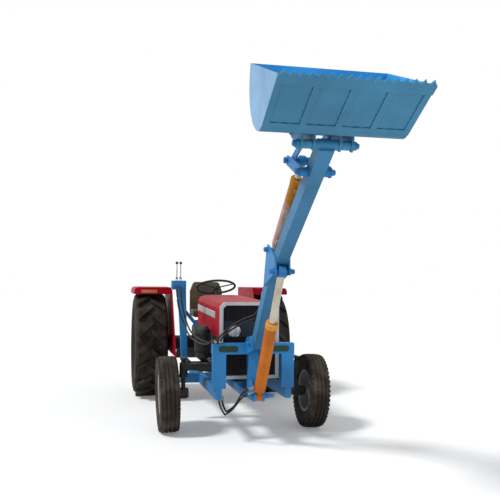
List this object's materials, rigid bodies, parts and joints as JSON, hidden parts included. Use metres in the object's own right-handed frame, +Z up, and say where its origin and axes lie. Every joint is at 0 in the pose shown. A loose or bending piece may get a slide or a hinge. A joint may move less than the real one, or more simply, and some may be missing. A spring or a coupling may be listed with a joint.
{
  "type": "front loader tractor",
  "caption": "Farm tractor with a single-arm front loader: a bent boom, lift and tilt cylinders, a rocker linkage and a toothed bucket, raised and rolled back.",
  "frame": {"origin": "on the ground under the middle of the machine's outline", "axes": "+Z up, -Y the way the machine faces, +X its left-hand side"},
  "size_m": [2.06, 6.5246, 3.0614],
  "materials": {
    "tyre_rubber": "dusty matte",
    "front_rim_paint": "worn satin",
    "rear_rim_paint": "worn satin",
    "loader_blue": "satin, worn at edges",
    "bucket_blue": "satin, worn at edges",
    "tractor_red": "glossy",
    "grey_castings": "oily painted",
    "frame_silver": "satin",
    "grille_black": "matte",
    "lamp_panel_navy": "satin",
    "headlamp_glass": "clear over reflector",
    "lamp_orange": "gloss",
    "seat_olive": "worn matte",
    "black_plastic": "matte",
    "cylinder_orange": "satin, chipped",
    "chrome_rod": "polished",
    "bare_steel": "worn",
    "dark_steel": "matte"
  },
  "bodies": {
    "tractor": {"front_bolster": "grey_castings", "axle_pivot_pin": "bare_steel", "engine_block": "grey_castings", "gearbox_housing": "grey_castings", "rear_axle_housing": "grey_castings", "drawbar": "dark_steel", "grille_frame": "frame_silver", "hood": "tractor_red", "side_trims": "frame_silver", "lamp_panel": "lamp_panel_navy", "headlamps": "headlamp_glass", "grille_slats": "grille_black", "radiator": "grille_black", "fender_left": "tractor_red", "fender_right": "tractor_red", "fender_lamps": "lamp_orange", "footplates": "dark_steel", "dash_panel": "black_plastic", "steering_column": "dark_steel", "seat_base": "dark_steel", "seat": "seat_olive", "air_cleaner": "dark_steel", "front_frame": "loader_blue", "side_rails": "loader_blue", "rail_brackets": "loader_blue", "belly_frame": "loader_blue", "outrigger": "loader_blue", "pivot_ears": "loader_blue", "base_ears": "loader_blue", "frame_pins": "loader_blue", "valve_stand": "loader_blue", "control_valve": "loader_blue", "frame_hoses": "black_plastic"},
    "front_axle": {"front_axle_beam": "dark_steel"},
    "knuckle_left": {"knuckle_left": "dark_steel"},
    "knuckle_right": {"knuckle_right": "dark_steel"},
    "tie_rod": {"tie_rod": "dark_steel"},
    "front_wheel_left": {"front_tyre_left": "tyre_rubber", "front_rim_left": "front_rim_paint"},
    "front_wheel_right": {"front_tyre_right": "tyre_rubber", "front_rim_right": "front_rim_paint"},
    "rear_wheel_left": {"rear_tyre_left": "tyre_rubber", "rear_rim_left": "rear_rim_paint"},
    "rear_wheel_right": {"rear_tyre_right": "tyre_rubber", "rear_rim_right": "rear_rim_paint"},
    "steering_wheel": {"steering_wheel": "black_plastic"},
    "boom_lever": {"boom_lever": "bare_steel"},
    "bucket_lever": {"bucket_lever": "bare_steel"},
    "boom": {"boom": "loader_blue", "knee_gussets": "loader_blue", "boom_pins": "loader_blue"},
    "lift_barrel": {"lift_barrel": "cylinder_orange"},
    "lift_rod": {"lift_rod": "chrome_rod"},
    "tilt_barrel": {"tilt_barrel": "cylinder_orange"},
    "tilt_rod": {"tilt_rod": "chrome_rod"},
    "rocker": {"rocker_arms": "loader_blue"},
    "link": {"links": "loader_blue"},
    "bucket": {"bucket": "bucket_blue", "link_pin": "loader_blue", "cutting_edge": "bucket_blue"}
  },
  "joints": [
    {"name": "front_axle_swing", "type": "hinge", "parent": "tractor", "child": "front_axle", "pos_m": [0, 0.20227, 0.642], "axis": [0, 1, 0], "range_deg": [-6, 6]},
    {"name": "steer_left", "type": "hinge", "parent": "front_axle", "child": "knuckle_left", "pos_m": [0.61, 0.20227, 0.592], "axis": [0, 0, 1], "range_deg": [-30, 30]},
    {"name": "steer_right", "type": "hinge", "parent": "front_axle", "child": "knuckle_right", "pos_m": [-0.61, 0.20227, 0.592], "axis": [0, 0, 1], "range_deg": [-30, 30]},
    {"name": "tie_rod_swing", "type": "hinge", "parent": "knuckle_left", "child": "tie_rod", "pos_m": [0.61, 0.36727, 0.64], "axis": [0, 0, 1], "range_deg": [-30, 30]},
    {"name": "steering_wheel_turn", "type": "hinge", "parent": "tractor", "child": "steering_wheel", "pos_m": [0, 1.85227, 1.48], "axis": [0, 0.342, 0.9397], "range_deg": [-360, 360]},
    {"name": "front_wheel_left_spin", "type": "hinge", "parent": "knuckle_left", "child": "front_wheel_left", "pos_m": [0.775, 0.20227, 0.39084], "axis": [0.9994, 0, -0.0349], "continuous": true},
    {"name": "front_wheel_right_spin", "type": "hinge", "parent": "knuckle_right", "child": "front_wheel_right", "pos_m": [-0.775, 0.20227, 0.39084], "axis": [0.9994, 0, 0.0349], "continuous": true},
    {"name": "rear_wheel_left_spin", "type": "hinge", "parent": "tractor", "child": "rear_wheel_left", "pos_m": [0.81, 2.51227, 0.71], "axis": [1, 0, 0], "continuous": true},
    {"name": "rear_wheel_right_spin", "type": "hinge", "parent": "tractor", "child": "rear_wheel_right", "pos_m": [-0.81, 2.51227, 0.71], "axis": [1, 0, 0], "continuous": true},
    {"name": "boom_lever_tilt", "type": "hinge", "parent": "tractor", "child": "boom_lever", "pos_m": [-0.633, 0.73227, 1.59], "axis": [1, 0, 0], "range_deg": [-15, 15], "stiffness_Nm_per_rad": 4},
    {"name": "bucket_lever_tilt", "type": "hinge", "parent": "tractor", "child": "bucket_lever", "pos_m": [-0.591, 0.73227, 1.59], "axis": [1, 0, 0], "range_deg": [-15, 15], "stiffness_Nm_per_rad": 4},
    {"name": "boom_lift", "type": "hinge", "parent": "tractor", "child": "boom", "pos_m": [0, -0.59773, 0.975], "axis": [-1, 0, 0], "range_deg": [-57, 0]},
    {"name": "lift_barrel_swing", "type": "hinge", "parent": "tractor", "child": "lift_barrel", "pos_m": [0, -0.63773, 0.488], "axis": [-1, 0, 0], "range_deg": [-48, 0.5]},
    {"name": "lift_rod_slide", "type": "slide", "parent": "lift_barrel", "child": "lift_rod", "axis": [0, -0.5759, 0.8175], "range_m": [-0.42, 0.002]},
    {"name": "bucket_tilt", "type": "hinge", "parent": "boom", "child": "bucket", "pos_m": [0, -2.59773, 2.502], "axis": [1, 0, 0], "range_deg": [-30, 65]},
    {"name": "rocker_swing", "type": "hinge", "parent": "boom", "child": "rocker", "pos_m": [0, -2.35773, 2.352], "axis": [1, 0, 0], "range_deg": [-21.5, 46]},
    {"name": "tilt_barrel_swing", "type": "hinge", "parent": "boom", "child": "tilt_barrel", "pos_m": [0, -1.22773, 1.844], "axis": [1, 0, 0], "range_deg": [-3.5, 2]},
    {"name": "tilt_rod_slide", "type": "slide", "parent": "tilt_barrel", "child": "tilt_rod", "axis": [0, -0.7823, 0.6229], "range_m": [-0.12, 0.26]},
    {"name": "link_swing", "type": "hinge", "parent": "bucket", "child": "link", "pos_m": [0, -2.41773, 2.62], "axis": [1, 0, 0], "range_deg": [-53, 25]}
  ],
  "couplings": [
    {"joint": "steer_right", "follows": "steer_left", "ratio": 1},
    {"joint": "tie_rod_swing", "follows": "steer_left", "ratio": -1},
    {"joint": "steering_wheel_turn", "follows": "steer_left", "ratio": 12},
    {"joint": "lift_barrel_swing", "follows": "boom_lift", "ratio": 0.82718},
    {"joint": "lift_rod_slide", "follows": "boom_lift", "m_per_rad": 0.4208},
    {"joint": "rocker_swing", "follows": "bucket_tilt", "ratio": 0.698},
    {"joint": "tilt_barrel_swing", "follows": "bucket_tilt", "ratio": -0.048},
    {"joint": "tilt_rod_slide", "follows": "bucket_tilt", "m_per_rad": 0.2271},
    {"joint": "link_swing", "follows": "bucket_tilt", "ratio": -0.804}
  ]
}
